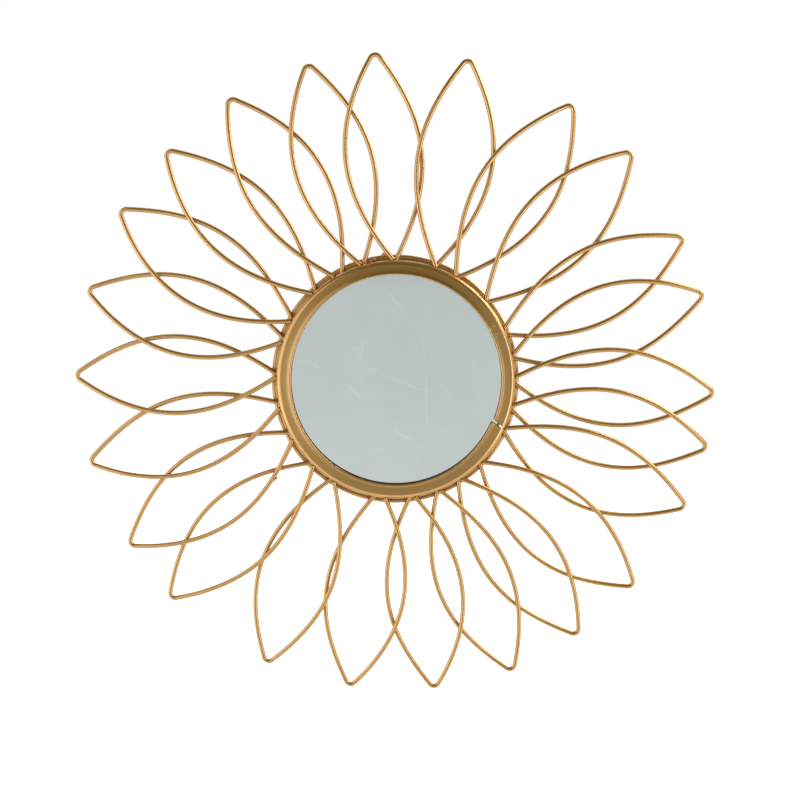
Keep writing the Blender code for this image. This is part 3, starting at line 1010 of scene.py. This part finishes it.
# A smear breaks up into fine grains, and keeps at least the whole share everywhere
GRAIN_SCALE = 300.0
GRAIN_SHARE = 0.8
WHOLE_SHARE = 0.35
haze = noise_of(silver_tree, silver_place, HAZE_SCALE, 4.0)
patches = noise_of(silver_tree, silver_place, PATCH_SCALE, 2.0)
grains = noise_of(silver_tree, silver_place, GRAIN_SCALE, 2.0)
level = CLEANNESS + (haze - 0.5) * HAZE_RANGE + (patches - 0.5) * PATCH_RANGE
streaks = total(SMEARS) * (grains * GRAIN_SHARE + WHOLE_SHARE) * SMEAR_STRENGTH
level = level + streaks - total(DARK_SPOTS) * SPOT_STRENGTH
silver_colour = mixed(silver_tree, level.clipped(), DULL_SILVER, PALE_SILVER)
silver_tree.links.new(silver_colour.output, silver_shader.inputs["Base Color"])
silver_shape = disc(glass_radius - SHADE_RING_WIDTH - 2 * HAIR, glass_high.y - SILVER, glass_high.y, 0.0)
add_piece("silver_layer", silver_shape, silvering)
print("silvering:", len(silver_tree.nodes), "nodes")

# %% The ring of painted shade at the glass's edge
# The black ring over the glass's side and the silver's edge is painted shade for the gap by the rim
EDGE_CATCH = 0.0002
SHADE_WRAP = 0.0003
SHADE_MOTTLE = 120.0
# Two tones of the painted shade, mixed by a noise
DARK_SHADE = (0.015, 0.013, 0.01, 1.0)
PALER_SHADE = (0.07, 0.058, 0.04, 1.0)
shade_ring_finish, edge_shader = plain_finish("shade_ring_finish", (0.03, 0.027, 0.02), metallic=0.0, roughness=0.6)
edge_tree = shade_ring_finish.node_tree
mottle = noise_of(edge_tree, object_place(edge_tree), SHADE_MOTTLE, 3.0)
edge_colour = mixed(edge_tree, mottle, DARK_SHADE, PALER_SHADE)
edge_tree.links.new(edge_colour.output, edge_shader.inputs["Base Color"])
shade_front = glass_high.y - SILVER - 2 * HAIR
edge = [
    (glass_radius - SHADE_RING_WIDTH, shade_front),
    (glass_radius + HAIR, shade_front),
    (glass_radius + HAIR, glass_low.y + EDGE_CATCH),
    (glass_radius + HAIR + SHADE_WRAP, glass_low.y + EDGE_CATCH),
    (glass_radius + HAIR + SHADE_WRAP, glass_high.y),
    (glass_radius - SHADE_RING_WIDTH, glass_high.y),
]
# The ring of painted shade, seen as a dark dot in the rim's slit
add_piece("painted_shade_ring", spun(edge, ROLL_STEPS), shade_ring_finish)
print("edge paint:", round(SHADE_RING_WIDTH / MM, 1), "mm wide")

# %% [markdown]
# ## The back
#
# Nobody sees the back of a mirror on its wall, so it is plain: brown fibre board, four bent clips and a
# steel plate with a keyhole. The frame's own pieces have the right shapes, and get their finishes here.

# %% Fibre board
FIBRE_SCALE = 60.0
BOARD_MARKS = 14.0
FIBRE_SQUASH = (1.0, 1.0, 6.0)
FIBRE_SHARE = 0.8
MARK_SHARE = 0.6
BOARD_DROP = 0.25
DARK_BOARD = (0.17, 0.115, 0.07, 1.0)
PALE_BOARD = (0.32, 0.235, 0.155, 1.0)
FIBRE_STRENGTH = 0.3
FIBRE_HEIGHT = 0.0002
board_finish, board_shader = plain_finish("fibre_board", (0.23, 0.17, 0.12), metallic=0.0, roughness=0.85)
board = board_finish.node_tree
board_place = object_place(board)
pressed = add_node(board, "ShaderNodeMapping", {}, {"Vector": board_place, "Scale": FIBRE_SQUASH})
fibres = noise_of(board, pressed, FIBRE_SCALE, 8.0)
marks = noise_of(board, board_place, BOARD_MARKS, 3.0)
board_tone = (fibres * FIBRE_SHARE + marks * MARK_SHARE - BOARD_DROP).clipped()
board_colour = mixed(board, board_tone, DARK_BOARD, PALE_BOARD)
board.links.new(board_colour.output, board_shader.inputs["Base Color"])
relief = {"Height": fibres, "Strength": FIBRE_STRENGTH, "Distance": FIBRE_HEIGHT}
board_bump = add_node(board, "ShaderNodeBump", {}, relief)
board.links.new(board_bump.output, board_shader.inputs["Normal"])
print("fibre board:", len(board.nodes), "nodes")

# %% Zinc on the clips
SPANGLES = 350.0
DULL_ZINC = (0.46, 0.47, 0.48, 1.0)
BRIGHT_ZINC = (0.62, 0.63, 0.64, 1.0)
ZINC_SMOOTHEST = 0.28
ZINC_SPREAD = 0.15
steel_finish, steel_shader = plain_finish("zinc_steel", (0.55, 0.55, 0.55), metallic=0.95, roughness=0.35)
zinc = steel_finish.node_tree
zinc_place = object_place(zinc)
spangles = add_node(zinc, "ShaderNodeTexVoronoi", {}, {"Vector": zinc_place, "Scale": SPANGLES}, "Color")
spangle = add_node(zinc, "ShaderNodeSeparateXYZ", {}, {"Vector": spangles}, "X")
zinc_colour = mixed(zinc, spangle, DULL_ZINC, BRIGHT_ZINC)
zinc.links.new(zinc_colour.output, steel_shader.inputs["Base Color"])
zinc_gloss = spangle * ZINC_SPREAD + ZINC_SMOOTHEST
zinc.links.new(zinc_gloss.output, steel_shader.inputs["Roughness"])
print("zinc:", len(zinc.nodes), "nodes")

# %% Finishes for the back
CLIPS = 4
back_finishes = {"back_board": board_finish, "hanger_plate": rim_gold}
for number in range(1, CLIPS + 1):
    back_finishes[f"retaining_clip_{number}"] = steel_finish
for name, finish in back_finishes.items():
    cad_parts[name].material_slots[0].material = finish
print("back finished")
